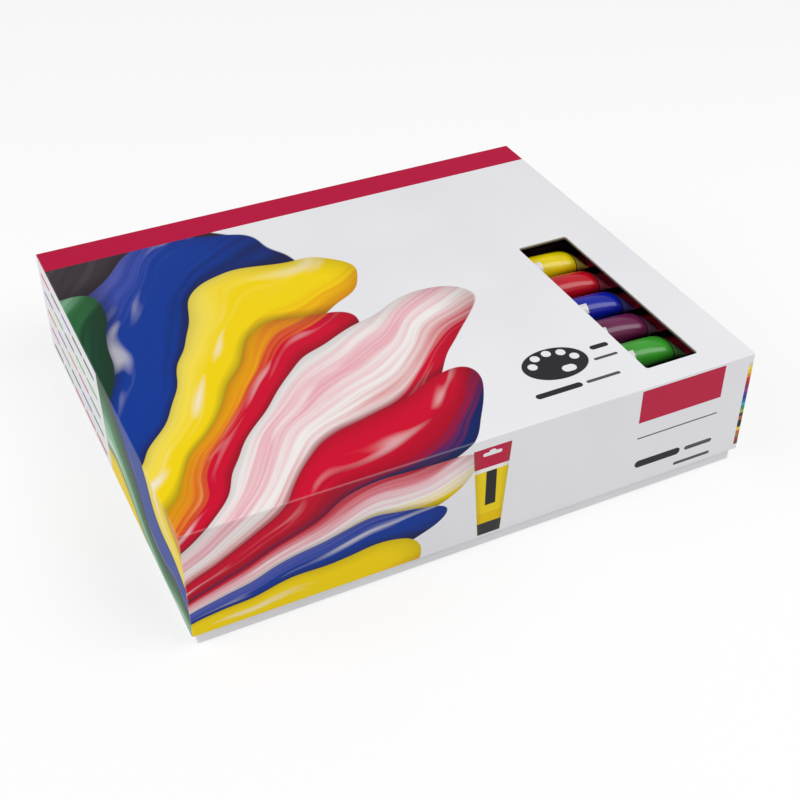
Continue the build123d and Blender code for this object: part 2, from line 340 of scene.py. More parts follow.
print("the longest stroke ends", max(length for _, _, length, _ in STROKES), "mm from the fan")

# %% [markdown]
# Across a stroke the paints run into one another along the bristle lines. Its edge is darker,
# which makes it look rounded, and a pale glint lies to one side of its middle. The side of a
# place is -1 to 1 across the stroke, and its rim grows from 0 in the middle to 1 at the edge.

# %% Paint of one stroke
PAINT_STOPS = (0.12, 0.4, 0.66, 0.94)
EDGE_START, EDGE_SHARE = 0.2, 0.3
GLINT_SIDE, GLINT_HALF_WIDTH, GLINT_SHARE = 0.35, 0.22, 0.75
EDGE_TONE, GLINT_TONE = linear("#20080E"), linear("#F7F3F4")
bristle_shift = add(tree, "Math", {0: bristles, 1: 0.5, 2: 0.25}, operation="MULTIPLY_ADD")


def stroke_paint(side, rim, paints):
    """The colour of one stroke: its paints across it, its darker edge and its glint."""
    across = add(
        print_tree, "Math", {0: side, 1: 0.5, 2: bristle_shift}, operation="MULTIPLY_ADD"
    )
    stops = [(position, linear(paint)) for position, paint in zip(PAINT_STOPS, paints)]
    paint = add(print_tree, "ValToRGB", {"Fac": across}, stops=stops)
    rounded = add(print_tree, "Math", {0: rim, 1: rim}, operation="MULTIPLY")
    edge = add(
        print_tree,
        "MapRange",
        {"Value": rounded, "From Min": EDGE_START, "From Max": 1.0, "To Max": EDGE_SHARE},
    )
    inputs = {"Factor": edge, "A": paint, "B": EDGE_TONE}
    paint = add(print_tree, "Mix", inputs, data_type="RGBA")
    off_glint = add(print_tree, "Math", {0: side, 1: GLINT_SIDE}, operation="SUBTRACT")
    off_glint = add(print_tree, "Math", {0: off_glint}, operation="ABSOLUTE")
    on_glint = add(
        print_tree,
        "MapRange",
        {
            "Value": off_glint,
            "From Min": GLINT_HALF_WIDTH,
            "From Max": 0.0,
            "To Max": GLINT_SHARE,
        },
    )
    glint = add(print_tree, "Math", {0: on_glint, 1: glint_strength}, operation="MULTIPLY")
    inputs = {"Factor": glint, "A": paint, "B": GLINT_TONE}
    return add(print_tree, "Mix", inputs, data_type="RGBA")


print("glints at", GLINT_SIDE, "of the half width of a stroke")

# %% [markdown]
# The strokes are laid one over the other, each with a rounded end, and each darkens the paint
# that lies under its edge, but not the bare paper.

# %% Lay the strokes
END_LENGTH = 70.0
EDGE_SOFTNESS = 0.025
SHADOW_REACH, SHADOW_DEPTH = 1.45, 0.5
picture = sheet_tone.outputs["Color"]
paint_cover = None
for middle, half, length, paints in STROKES:
    inputs = {0: angle, 1: 1 / half, 2: -middle / half}
    side = add(tree, "Math", inputs, operation="MULTIPLY_ADD")
    inputs = {0: reach, 1: 1 / END_LENGTH, 2: 1 - length / END_LENGTH}
    beyond = add(tree, "Math", inputs, operation="MULTIPLY_ADD")
    end = add(tree, "Math", {0: beyond, 1: 0.0}, operation="MAXIMUM")
    side_square = add(tree, "Math", {0: side, 1: side}, operation="MULTIPLY")
    rim = add(tree, "Math", {0: end, 1: end, 2: side_square}, operation="MULTIPLY_ADD")
    inputs = {"Value": rim, "From Min": 1.0, "From Max": 1 - EDGE_SOFTNESS}
    cover = add(tree, "MapRange", inputs)
    if paint_cover is None:
        paint_cover = cover
    else:
        inputs = {
            "Value": rim,
            "From Min": SHADOW_REACH,
            "From Max": 1.0,
            "To Max": SHADOW_DEPTH,
        }
        shade = add(tree, "MapRange", inputs)
        shade = add(tree, "Math", {0: shade, 1: paint_cover}, operation="MULTIPLY")
        inputs = {"Factor": shade, "A": picture, "B": linear("#1B1216")}
        picture = add(tree, "Mix", inputs, data_type="RGBA")
        paint_cover = add(tree, "Math", {0: paint_cover, 1: cover}, operation="MAXIMUM")
    inputs = {"Factor": cover, "A": picture, "B": stroke_paint(side, rim, paints)}
    picture = add(tree, "Mix", inputs, data_type="RGBA")
print(len(STROKES), "strokes laid")

# %% [markdown]
# The picture stops at straight lines: at the crimson band along the back of the top, and
# half way along the left face, where a chart of small colour swatches begins.

# %% Place the picture and the band
BAND_Y = 129.5
BAND_FALL = 12.0
CHART_START_Y = 2.0
CRIMSON = "#BB003C"
on_band = add(tree, "Math", {0: flat_y, 1: BAND_Y}, operation="GREATER_THAN")
off_band = add(tree, "Math", {0: 1.0, 1: on_band}, operation="SUBTRACT")
left_picture = add(tree, "Math", {0: y, 1: CHART_START_Y}, operation="LESS_THAN")
left_picture = add(tree, "Math", {0: left_picture, 1: on_left}, operation="MULTIPLY")
top_only = add(tree, "Math", {0: on_top, 1: on_left}, operation="SUBTRACT", use_clamp=True)
top_picture = add(tree, "Math", {0: top_only, 1: off_band}, operation="MULTIPLY")
faces = add(tree, "Math", {0: top_picture, 1: on_front}, operation="MAXIMUM")
faces = add(tree, "Math", {0: faces, 1: left_picture}, operation="MAXIMUM")
colour = add(tree, "Mix", {"Factor": faces, "A": sheet_tone, "B": picture}, data_type="RGBA")
high_on_back = add(tree, "Math", {0: z, 1: TOP - BAND_FALL}, operation="GREATER_THAN")
back_band = add(tree, "Math", {0: on_back, 1: high_on_back}, operation="MULTIPLY")
top_band = add(tree, "Math", {0: top_only, 1: on_band}, operation="MULTIPLY")
band = add(tree, "Math", {0: top_band, 1: back_band}, operation="MAXIMUM")
colour = add(tree, "Mix", {"Factor": band, "A": colour, "B": linear(CRIMSON)}, data_type="RGBA")
print("band starts at y =", BAND_Y, "mm")

# %% [markdown]
# Flat printed areas are rectangles on one face. A vector trick gives a rectangle in a few
# nodes: take the place from the middle, make it positive, and see whether both sides are
# within half the size. A corner radius turns the same nodes into a rounded bar or a dot.

# %% A function for one printed shape
SOFT_EDGE = 0.1
LEAST_RADIUS = 0.01


def printed_shape(colour, face, horizontal, vertical, middle, size, radius, ink):
    """Prints a rectangle with rounded corners on one face of the sheet."""
    spot = add(print_tree, "CombineXYZ", {0: horizontal, 1: vertical})
    spot = add(print_tree, "VectorMath", {0: spot, 1: (*middle, 0)}, operation="SUBTRACT")
    spot = add(print_tree, "VectorMath", {0: spot}, operation="ABSOLUTE")
    core = (size[0] / 2 - radius, size[1] / 2 - radius, 0)
    spot = add(print_tree, "VectorMath", {0: spot, 1: core}, operation="SUBTRACT")
    spot = add(print_tree, "VectorMath", {0: spot, 1: (0, 0, 0)}, operation="MAXIMUM")
    out = add(print_tree, "VectorMath", {0: spot}, operation="LENGTH")
    limit = max(radius, LEAST_RADIUS)
    inner = max(limit - SOFT_EDGE, 0.0)
    inputs = {"Value": out, "From Min": limit + SOFT_EDGE, "From Max": inner}
    inside = add(print_tree, "MapRange", inputs)
    inside = add(print_tree, "Math", {0: inside, 1: face}, operation="MULTIPLY")
    return add(print_tree, "Mix", {"Factor": inside, "A": colour, "B": ink}, data_type="RGBA")


print("printed shapes have a soft edge of", 2 * SOFT_EDGE, "mm")

# %% [markdown]
# The front has a crimson panel at its right end with a rule and three bars under it, and the
# top has a plain pictogram, a painter's palette, in heavy black beside the window. They keep
# the places and the weight of a pack's print without saying anything. Each bar is a line of
# its table: its middle, its length and height, and its ink.

# %% Front panel and bars
INK, INK_SOFT = linear("#2B2A2E"), linear("#55535A")
CRIMSON_FRONT = linear("#BE2145")
PANEL_X, PANEL_SIZE = 133.5, (61.0, 24.5)
PANEL_Z = LID_EDGE + 61.5
SHARP_CORNER = 0.3
FRONT_BARS = (
    (133.5, 37.0, 60.0, 1.0, INK_SOFT),
    (121.5, 15.5, 34.0, 5.6, INK),
    (152.5, 15.5, 21.0, 3.2, INK_SOFT),
    (149.0, 5.2, 28.0, 2.4, INK_SOFT),
)
panel_middle = (PANEL_X, PANEL_Z)
colour = printed_shape(
    colour, on_front, x, z, panel_middle, PANEL_SIZE, SHARP_CORNER, CRIMSON_FRONT
)
for bar_x, bar_z, length, height, ink in FRONT_BARS:
    middle, size = (bar_x, LID_EDGE + bar_z), (length, height)
    colour = printed_shape(colour, on_front, x, z, middle, size, height / 2, ink)
print("panel and", len(FRONT_BARS), "bars on the front")

# %% Palette pictogram and bars on the top
PALETTE = (69.0, -110.0)
PALETTE_SIZE = (44.0, 31.0)
WELL_RADIUS = 3.1
WELLS = ((-14.5, 2.5), (-9.0, 9.2), (0.0, 11.0), (9.0, 8.6), (14.8, 1.8))
THUMB_HOLE, THUMB_SIZE = (5.5, -7.5), (9.5, 6.4)
TOP_BARS = (
    (103.0, -106.0, 13.0, 4.2, INK),
    (101.0, -117.0, 17.0, 2.4, INK_SOFT),
    (57.0, -134.5, 32.0, 4.6, INK),
    (88.0, -134.5, 24.0, 2.6, INK_SOFT),
)
bare_paper = sheet_tone.outputs["Color"]
spread = add(tree, "CombineXYZ", {0: x, 1: y})
spread = add(tree, "VectorMath", {0: spread, 1: (*PALETTE, 0)}, operation="SUBTRACT")
inputs = {0: spread, 1: (2 / PALETTE_SIZE[0], 2 / PALETTE_SIZE[1], 0)}
spread = add(tree, "VectorMath", inputs, operation="MULTIPLY")
oval = add(tree, "VectorMath", {0: spread}, operation="LENGTH")
board = add(tree, "MapRange", {"Value": oval, "From Min": 1.01, "From Max": 0.99})
board = add(tree, "Math", {0: board, 1: top_only}, operation="MULTIPLY")
colour = add(tree, "Mix", {"Factor": board, "A": colour, "B": INK}, data_type="RGBA")
holes = [(well, (2 * WELL_RADIUS,) * 2) for well in WELLS] + [(THUMB_HOLE, THUMB_SIZE)]
for (dx, dy), size in holes:
    middle = (PALETTE[0] + dx, PALETTE[1] + dy)
    colour = printed_shape(colour, top_only, x, y, middle, size, size[1] / 2, bare_paper)
for bar_x, bar_y, length, height, ink in TOP_BARS:
    middle, size = (bar_x, bar_y), (length, height)
    colour = printed_shape(colour, top_only, x, y, middle, size, height / 2, ink)
print("palette pictogram at", PALETTE, "and", len(TOP_BARS), "bars")

# %% [markdown]
# A small picture of one tube stands on the front: a wide hang header, a white line, a yellow
# body that narrows downwards with an empty black label, and a dark cap. Its two sides lean, so
# the distance from its middle line is divided by its half width at that height. The label and
# the hang hole, a slot with a bump in its middle, are printed shapes.

# %% Tube picture on the front
PICTURE_X = 1.0
PICTURE_TOP, PICTURE_FOOT = LID_EDGE + 69.0, LID_EDGE + 1.5
PICTURE_HEIGHT = PICTURE_TOP - PICTURE_FOOT
HALF_AT_TOP, HALF_AT_FOOT = 12.6, 7.6
SHADE_START, SIDE_SHADE = 0.6, 0.28
PICTURE_BANDS = (
    (PICTURE_FOOT, linear("#37363A")),
    (LID_EDGE + 10.6, linear("#E9C400")),
    (LID_EDGE + 18.6, linear("#EFD21A")),
    (LID_EDGE + 51.2, linear("#F1EFEE")),
    (LID_EDGE + 54.0, CRIMSON_FRONT),
)
PICTURE_SHAPES = (
    (38.0, (7.0, 26.4), SHARP_CORNER, linear("#2C2A2B")),
    (64.3, (12.5, 2.6), 1.3, bare_paper),
    (65.3, (4.6, 3.6), 1.6, bare_paper),
)
inputs = {
    "Value": z,
    "From Min": PICTURE_FOOT,
    "From Max": PICTURE_TOP,
    "To Min": HALF_AT_FOOT,
    "To Max": HALF_AT_TOP,
}
half_width = add(tree, "MapRange", inputs)
from_middle = add(tree, "Math", {0: x, 1: PICTURE_X}, operation="SUBTRACT")
sideways = add(tree, "Math", {0: from_middle, 1: half_width}, operation="DIVIDE")
sideways = add(tree, "Math", {0: sideways}, operation="ABSOLUTE")
tube_area = on_front
for value, limit, test in (
    (sideways, 1.0, "LESS_THAN"),
    (z, PICTURE_TOP, "LESS_THAN"),
    (z, PICTURE_FOOT, "GREATER_THAN"),
):
    passed = add(tree, "Math", {0: value, 1: limit}, operation=test)
    tube_area = add(tree, "Math", {0: tube_area, 1: passed}, operation="MULTIPLY")
inputs = {"Value": z, "From Min": PICTURE_FOOT, "From Max": PICTURE_TOP}
height_share = add(tree, "MapRange", inputs)
stops = [((start - PICTURE_FOOT) / PICTURE_HEIGHT, ink) for start, ink in PICTURE_BANDS]
tube_colours = add(tree, "ValToRGB", {"Fac": height_share}, stops=stops)
tube_colours.color_ramp.interpolation = "CONSTANT"
inputs = {"Value": sideways, "From Min": SHADE_START, "From Max": 1.0, "To Max": SIDE_SHADE}
side_shade = add(tree, "MapRange", inputs)
inputs = {"Factor": side_shade, "A": tube_colours, "B": linear("#6A5A20")}
tube_shaded = add(tree, "Mix", inputs, data_type="RGBA")
inputs = {"Factor": tube_area, "A": colour, "B": tube_shaded}
colour = add(tree, "Mix", inputs, data_type="RGBA")
for shape_z, size, radius, ink in PICTURE_SHAPES:
    middle = (PICTURE_X, LID_EDGE + shape_z)
    colour = printed_shape(colour, on_front, x, z, middle, size, radius, ink)
print("tube picture", round(PICTURE_HEIGHT), "mm tall")

# %% [markdown]
# The rear half of the left face carries a chart: five columns of small swatches. One repeated
# cell is drawn, and a white noise on the cell's number picks each colour.

# %% Swatch chart on the left face
CELL_LENGTH, CELL_HEIGHT = 27.6, 15.0
SWATCH_LENGTH, SWATCH_HEIGHT = 24.2, 3.1
CHART_LOW_Y, CHART_LOW_Z = 12.0, LID_EDGE + 3.4
CHART_COLUMNS = 5
SWATCHES = (
    "#3C3B40", "#6F6668", "#C2496E", "#6FAF4E", "#B4674F", "#5E7F62", "#8C8A90", "#C9853F",
    "#D14A45", "#3E5AA0", "#8A54A6", "#B3A33A", "#8D6B55", "#4B4A4E",
)  # fmt: skip


def even_steps(hex_colours):
    """Colour stops at even steps, for a ramp that jumps from each to the next."""
    return [(i / len(hex_colours), linear(one)) for i, one in enumerate(hex_colours)]


cell_y = add(tree, "Math", {0: y, 1: CHART_LOW_Y}, operation="SUBTRACT")
cell_y = add(tree, "Math", {0: cell_y, 1: CELL_LENGTH}, operation="DIVIDE")
cell_z = add(tree, "Math", {0: z, 1: CHART_LOW_Z}, operation="SUBTRACT")
cell_z = add(tree, "Math", {0: cell_z, 1: CELL_HEIGHT}, operation="DIVIDE")
share_y = add(tree, "Math", {0: cell_y}, operation="FRACT")
share_z = add(tree, "Math", {0: cell_z}, operation="FRACT")
column = add(tree, "Math", {0: cell_y}, operation="FLOOR")
row = add(tree, "Math", {0: cell_z}, operation="FLOOR")
number = add(tree, "CombineXYZ", {0: column, 1: row})
pick = add(tree, "TexWhiteNoise", {"Vector": number}, noise_dimensions="3D")
swatch_colour = add(tree, "ValToRGB", {"Fac": pick}, stops=even_steps(SWATCHES))
swatch_colour.color_ramp.interpolation = "CONSTANT"
swatch = on_left
for value, limit, test in (
    (share_y, SWATCH_LENGTH / CELL_LENGTH, "LESS_THAN"),
    (share_z, SWATCH_HEIGHT / CELL_HEIGHT, "LESS_THAN"),
    (cell_y, 0.0, "GREATER_THAN"),
    (cell_y, CHART_COLUMNS, "LESS_THAN"),
    (cell_z, 0.0, "GREATER_THAN"),
):
    passed = add(tree, "Math", {0: value, 1: limit}, operation=test)
    swatch = add(tree, "Math", {0: swatch, 1: passed}, operation="MULTIPLY")
colour = add(tree, "Mix", {"Factor": swatch, "A": colour, "B": swatch_colour}, data_type="RGBA")
print("chart of", CHART_COLUMNS, "columns of swatches")

# %% [markdown]
# The right face is printed with level bands, one for each family of paints, which run on
# round the corner onto the last few millimetres of the front.

# %% Colour bands on the right face
BANDS = (
    "#7A4A3A", "#A3483E", "#8A8A3C", "#D2594F", "#E8CE3A", "#2E2B2D", "#2E2B2D", "#B0663A",
    "#4A3A33", "#9DB23A", "#3E8F4E", "#3FA7C0", "#2F6FB5", "#2E3F95", "#5B3F96", "#9A3F8E",
    "#8A2F5A", "#B3283F", "#D23A35", "#E88A33", "#EBC22E", "#F2DC4A", "#DAD4CC",
)  # fmt: skip
BAND_LOW, BAND_HIGH = LID_EDGE + 4.0, LID_EDGE + 69.5
STRIP_ON_FRONT = 3.5
inputs = {"Value": z, "From Min": BAND_LOW, "From Max": BAND_HIGH}
band_share = add(tree, "MapRange", inputs)
band_colour = add(tree, "ValToRGB", {"Fac": band_share}, stops=even_steps(BANDS))
band_colour.color_ramp.interpolation = "CONSTANT"
front_strip = add(tree, "Math", {0: x, 1: RIGHT - STRIP_ON_FRONT}, operation="GREATER_THAN")
front_strip = add(tree, "Math", {0: front_strip, 1: on_front}, operation="MULTIPLY")
banded = add(tree, "Math", {0: on_right, 1: front_strip}, operation="MAXIMUM")
for limit, test in ((BAND_LOW, "GREATER_THAN"), (BAND_HIGH, "LESS_THAN")):
    passed = add(tree, "Math", {0: z, 1: limit}, operation=test)
    banded = add(tree, "Math", {0: banded, 1: passed}, operation="MULTIPLY")
colour = add(tree, "Mix", {"Factor": banded, "A": colour, "B": band_colour}, data_type="RGBA")
print(len(BANDS), "bands on the right face")

# %% [markdown]
# Where the sheet is folded the laminate is stretched, and handling wears it: the ink is
# chipped away in specks along the folds, most of all at the corners. The folds are also
# painted a little paler, a painted highlight for the light on their rounded edges.
# A point is near a fold where it is close to two faces of the box at once.

# %% Worn folds with a painted highlight
FOLD_WIDTH, FOLD_HIGHLIGHT_SHARE = 1.1, 0.16
CHIP, CHIP_PALENESS = 2.2, 0.8
near = []
for axis, low, high in ((x, LEFT, RIGHT), (y, FRONT, BACK), (z, -TOP, TOP)):
    centred = add(tree, "Math", {0: axis, 1: (low + high) / 2}, operation="SUBTRACT")
    size = add(tree, "Math", {0: centred}, operation="ABSOLUTE")
    near.append(add(tree, "Math", {0: (high - low) / 2, 1: size}, operation="SUBTRACT"))
near_left_right, near_front_back, near_top = near
fold = add(tree, "Math", {0: near_left_right, 1: near_front_back}, operation="MAXIMUM")
for near_wall in (near_left_right, near_front_back):
    far = add(tree, "Math", {0: near_wall, 1: near_top}, operation="MAXIMUM")
    fold = add(tree, "Math", {0: fold, 1: far}, operation="MINIMUM")
inputs = {"Vector": sheet_mm, "Scale": 1 / CHIP, "Detail": 3.0, "Roughness": 0.7}
chips = add(tree, "TexNoise", inputs)
on_fold = add(tree, "MapRange", {"Value": fold, "From Min": FOLD_WIDTH, "From Max": 0.0})
chip_limit = add(tree, "Math", {0: chips, 1: on_fold}, operation="MULTIPLY")
inputs = {"Value": chip_limit, "From Min": 0.5, "From Max": 0.56, "To Max": CHIP_PALENESS}
chipped = add(tree, "MapRange", inputs)
# The paler band along the folds is a painted highlight; the chipped specks are wear.
painted_fold_highlight = add(tree, "Math", {0: on_fold, 1: FOLD_HIGHLIGHT_SHARE}, operation="MULTIPLY")
wear_and_highlight = add(tree, "Math", {0: chipped, 1: painted_fold_highlight}, operation="MAXIMUM")
inputs = {"Factor": wear_and_highlight, "A": colour, "B": linear("#F2F1F3")}
colour = add(tree, "Mix", inputs, data_type="RGBA")
plug(tree, print_shader, colour)
dress("lid_wrap", printed_paper)
print("printed paper on the lid, nodes:", len(tree.nodes))

# %% [markdown]
# The trays are thermoformed from thin black polystyrene sheet. Forming leaves the plastic
# glossy but softly uneven, an orange peel a few millimetres across, and scuffed on its ridges.
# Their black is painted as a dark plum: painted bounce light from the crimson tube headers.

# %% Black polystyrene trays with painted bounce light
PEEL, PEEL_RELIEF = 3.0, 0.08
SCUFF = 14
tray_plastic, tree, shader = new_material("polystyrene_black_with_painted_bounce", IOR=1.59)
in_mm = place_in_mm(tree)
peel = add(tree, "TexNoise", {"Vector": in_mm, "Scale": 1 / PEEL, "Detail": 2.0})
scuffs = add(
    tree, "TexNoise", {"Vector": in_mm, "Scale": 1 / SCUFF, "Detail": 5.0, "Roughness": 0.7}
)
# Dark plum, not black: painted bounce light from the red headers, varied by the scuffs.
stops = [(0.35, linear("#21131A")), (0.75, linear("#332029"))]
tray_colour_with_painted_bounce = add(tree, "ValToRGB", {"Fac": scuffs}, stops=stops)
inputs = {"Value": scuffs, "From Min": 0.3, "From Max": 0.7, "To Min": 0.22, "To Max": 0.4}
gloss = add(tree, "MapRange", inputs)
peel_bump = add(tree, "Bump", {"Height": peel, "Strength": 0.5, "Distance": PEEL_RELIEF * MM})
plug(tree, shader, tray_colour_with_painted_bounce, peel_bump, gloss)
for node in ("tray_bottom", "tray_middle", "tray_top"):
    dress(node, tray_plastic)
print("trays dressed")

# %% [markdown]
# The screw caps are injection moulded from black polypropylene, which is waxy and half matt,
# with a fine spark-eroded texture from the mould. The texture is drawn a few times coarser
# than it is, so that it shows.

# %% Black polypropylene caps
EROSION, EROSION_RELIEF = 0.4, 0.02
cap_plastic, tree, shader = new_material("polypropylene_black_moulded", IOR=1.49, Roughness=0.38)
in_mm = place_in_mm(tree)
eroded = add(tree, "TexNoise", {"Vector": in_mm, "Scale": 1 / EROSION, "Detail": 2.0})
stops = [(0.3, linear("#151416")), (0.7, linear("#242326"))]
cap_colour = add(tree, "ValToRGB", {"Fac": eroded}, stops=stops)
cap_bump = add(tree, "Bump", {"Height": eroded, "Strength": 0.4, "Distance": EROSION_RELIEF * MM})
plug(tree, shader, cap_colour, cap_bump)
cap_nodes = [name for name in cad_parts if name.startswith("cap") or name.endswith("_caps")]
for node in cap_nodes:
    dress(node, cap_plastic)
print(len(cap_nodes), "nodes of caps dressed")

# %% [markdown]
# A paint tube is a laminated plastic tube: round at the shoulder, then closing bluntly to a
# crimped header that is stiff and flat. The mesh is a stack of rings along the tube. Each ring
# is an ellipse that gets wider and thinner, and in the header nearly a rectangle. Every point
# keeps its own place in the tube's millimetres as an attribute, so the print needs no
# unwrapping and follows the tube wherever it lies.

# %% Rings of one tube
TUBE_RADIUS = 10.4
TUBE_LENGTH = 106.0
SHOULDER_START, SHOULDER_END, SHOULDER_RADIUS = 15.9, 20.5, 7.7
ROUND_END = 34.0
DOME_LENGTH = 11.0
CRIMP_LINE = 91.0
HEADER_HALF, HEADER_THIN = 16.0, 0.7
HEADER_DROP = 3.0
TILT = math.radians(-16)
TAPER = 0.25
BLUNTNESS, WIDENING, SINKING = 12, 4, 8
ROUND, NEARLY_SQUARE = 2.0, 7.0
END_CHAMFER = 0.25
SHOULDER_RINGS, BODY_RINGS, DOME_RINGS, AROUND = 5, 10, 12, 36
BODY_START, BODY_END = (24.0, 29.0), 78.0
DOME_CROWDING = 1.6
HEADER_STEPS = (0.0, 0.4, 4.0, 9.0, 14.7, 15.0)


def ring_at(u):
    """Half width, half thickness, drop and squareness of the tube at a distance along it."""
    if u < SHOULDER_END:
        share = (u - SHOULDER_START) / (SHOULDER_END - SHOULDER_START)
        radius = SHOULDER_RADIUS + (TUBE_RADIUS - SHOULDER_RADIUS) * math.sin(share * math.pi / 2)
        return radius, radius, 0.0, ROUND
    if u >= CRIMP_LINE:
        return HEADER_HALF, HEADER_THIN, -HEADER_DROP, NEARLY_SQUARE
    share = max(0.0, (u - ROUND_END) / (CRIMP_LINE - ROUND_END))
    half = TUBE_RADIUS + (HEADER_HALF - TUBE_RADIUS) * share**WIDENING
    closing = (1 - TAPER * share) * math.sqrt(1 - share**BLUNTNESS)
    return half, max(TUBE_RADIUS * closing, HEADER_THIN), -HEADER_DROP * share**SINKING, ROUND


def tube_rings():
    """The points and faces of one tube along +X, in millimetres."""
    shoulder = np.linspace(SHOULDER_START, SHOULDER_END, SHOULDER_RINGS)
    body = [*BODY_START, *np.linspace(ROUND_END, BODY_END, BODY_RINGS)]
    quarter = np.linspace(0, math.pi / 2, DOME_RINGS)[:-1]
    dome = CRIMP_LINE - DOME_LENGTH * np.cos(quarter) ** DOME_CROWDING
    header = [CRIMP_LINE + step for step in HEADER_STEPS]
    stations = [*shoulder, *body, *dome, *header]
    points = []
    for u in stations:
        half, thin, drop, square = ring_at(u)
        shrink = END_CHAMFER if u == TUBE_LENGTH else 0.0
        for step in range(AROUND):
            t = 2 * math.pi * step / AROUND
            c, s = math.cos(t), math.sin(t)
            across = (half - shrink) * math.copysign(abs(c) ** (2 / square), c)
            over = (thin - shrink) * math.copysign(abs(s) ** (2 / square), s)
            y = across * math.cos(TILT) - over * math.sin(TILT)
            z = across * math.sin(TILT) + over * math.cos(TILT) + drop
            points.append((u, y, z))
    faces = []
    for ring in range(len(stations) - 1):
        for step in range(AROUND):
            after = (step + 1) % AROUND
            a, b = ring * AROUND, (ring + 1) * AROUND
            faces.append((a + step, a + after, b + after, b + step))
    faces.append(tuple(reversed(range(AROUND))))
    last = (len(stations) - 1) * AROUND
    faces.append(tuple(range(last, last + AROUND)))
    return np.array(points), faces


TUBE_POINTS, TUBE_FACES = tube_rings()
print("one tube has", len(TUBE_FACES), "faces")

# %% [markdown]
# The paints are common acrylic colours. The tubes under the window are fixed by what is seen
# there, and the others run through the colour circle. The lower trays hold tints and shades of
# the same row, as a large set does, and a row of earth colours and greens.

# %% Paints
PAINTS = (
    "#F4F2EC", "#F3EBC8", "#F6E04A", "#FAD000", "#F7B500", "#F08A00", "#EC6A1F", "#E2432A",
    "#D21F2B", "#B3122C", "#8C1230", "#D8447E", "#B92F84", "#8A2D84", "#5B2A86", "#3B3192",
    "#1F3C9C", "#12509F", "#0E74B4", "#1A9AC0",
)  # fmt: skip
EARTHS = (
    "#2E8B57", "#1E6E54", "#7FB54A", "#A8C23C", "#6C7A2E", "#8A5A2B", "#6B3A22", "#A9714B",
    "#4A4A50", "#B9B7B4",
)  # fmt: skip
WINDOW_PAINTS = {
    "yellow": "#F2DA00",
    "red": "#CC0A20",
    "blue": "#0A1EA8",
    "plum": "#6E1E4E",
    "green": "#3CA32E",
    "orange": "#EE7A1C",
    "sky": "#5CB4DC",
    "ochre": "#C18A35",
    "pink": "#E58BA6",
    "white": "#F2F0EA",
}
print(len(PAINTS) + len(EARTHS) + len(WINDOW_PAINTS), "paints")

# %% [markdown]
# The tube's skin is a glossy laminate, printed in its paint's colour. It stops at a thin dark
# line; after that comes a band of clear plastic with a greyish look, and then the crimson
# header with its crimp lines. A blank white label lies on the near side. Two low bumps, broad
# dents and the crimp lines, keep the gloss from looking turned on a lathe.

# %% Gloss laminate
LABEL_START = 23.0
LABEL_END = 50.0
LABEL_ENDS = {"yellow": 58.5, "blue": 59.0, "plum": 55.5, "green": 57.0}
LABEL_SIDE, LABEL_HALF_WIDTH = -7.0, 2.6
DARK_LINE, DARK_LINE_WIDTH = 83.0, 0.7
BLOTCH, DENT, DENT_DEPTH = 9, 22, 0.9
CRIMP_PITCH, CRIMP_DEPTH = 1.2, 0.12
NOZZLE_CREAM, HEADER_RED = linear("#D6D0CB"), linear("#96102F")


def printed_skin(tree, place, base, label_end):
    """The colour along a tube: cream shoulder, paint with its label, clear band and header."""
    u, side, up = add(tree, "SeparateXYZ", {0: place}).outputs
    blotch = add(tree, "TexNoise", {"Vector": place, "Scale": 1 / BLOTCH, "Detail": 3.0})
    inputs = {"Value": blotch, "From Min": 0.35, "From Max": 0.7, "To Max": 0.12}
    shade = add(tree, "MapRange", inputs)
    inputs = {"Factor": shade, "A": base, "B": linear("#201018")}
    colour = add(tree, "Mix", inputs, data_type="RGBA")
    label = add(tree, "Math", {0: up, 1: 0.0}, operation="GREATER_THAN")
    for value, middle, half in (
        (u, (LABEL_START + label_end) / 2, (label_end - LABEL_START) / 2),
        (side, LABEL_SIDE, LABEL_HALF_WIDTH),
    ):
        off = add(tree, "Math", {0: value, 1: middle}, operation="SUBTRACT")
        off = add(tree, "Math", {0: off}, operation="ABSOLUTE")
        within = add(tree, "Math", {0: off, 1: half}, operation="LESS_THAN")
        label = add(tree, "Math", {0: label, 1: within}, operation="MULTIPLY")
    inputs = {"Factor": label, "A": colour, "B": linear("#E9E4E2")}
    colour = add(tree, "Mix", inputs, data_type="RGBA")
    inputs = {"Factor": 0.5, "A": base, "B": linear("#6F5F68")}
    clear_tint = add(tree, "Mix", inputs, data_type="RGBA")
    for start, test, ink in (
        (DARK_LINE, "GREATER_THAN", linear("#241518")),
        (DARK_LINE + DARK_LINE_WIDTH, "GREATER_THAN", clear_tint),
        (CRIMP_LINE + 0.2, "GREATER_THAN", HEADER_RED),
        (SHOULDER_END + 0.4, "LESS_THAN", NOZZLE_CREAM),
    ):
        past = add(tree, "Math", {0: u, 1: start}, operation=test)
        colour = add(tree, "Mix", {"Factor": past, "A": colour, "B": ink}, data_type="RGBA")
    return colour


def skin_bump(tree, place):
    """Broad dents over the tube and fine crimp lines across its header."""
    u = add(tree, "SeparateXYZ", {0: place}).outputs[0]
    dents = add(tree, "TexNoise", {"Vector": place, "Scale": 1 / DENT, "Detail": 1.0})
    soft = add(tree, "Bump", {"Height": dents, "Strength": 0.5, "Distance": DENT_DEPTH * MM})
    wave = add(tree, "Math", {0: u, 1: 2 * math.pi / CRIMP_PITCH}, operation="MULTIPLY")
    wave = add(tree, "Math", {0: wave}, operation="SINE")
    in_header = add(tree, "Math", {0: u, 1: CRIMP_LINE}, operation="GREATER_THAN")
    wave = add(tree, "Math", {0: wave, 1: in_header}, operation="MULTIPLY")
    inputs = {"Height": wave, "Strength": 0.6, "Distance": CRIMP_DEPTH * MM, "Normal": soft}
    return add(tree, "Bump", inputs)


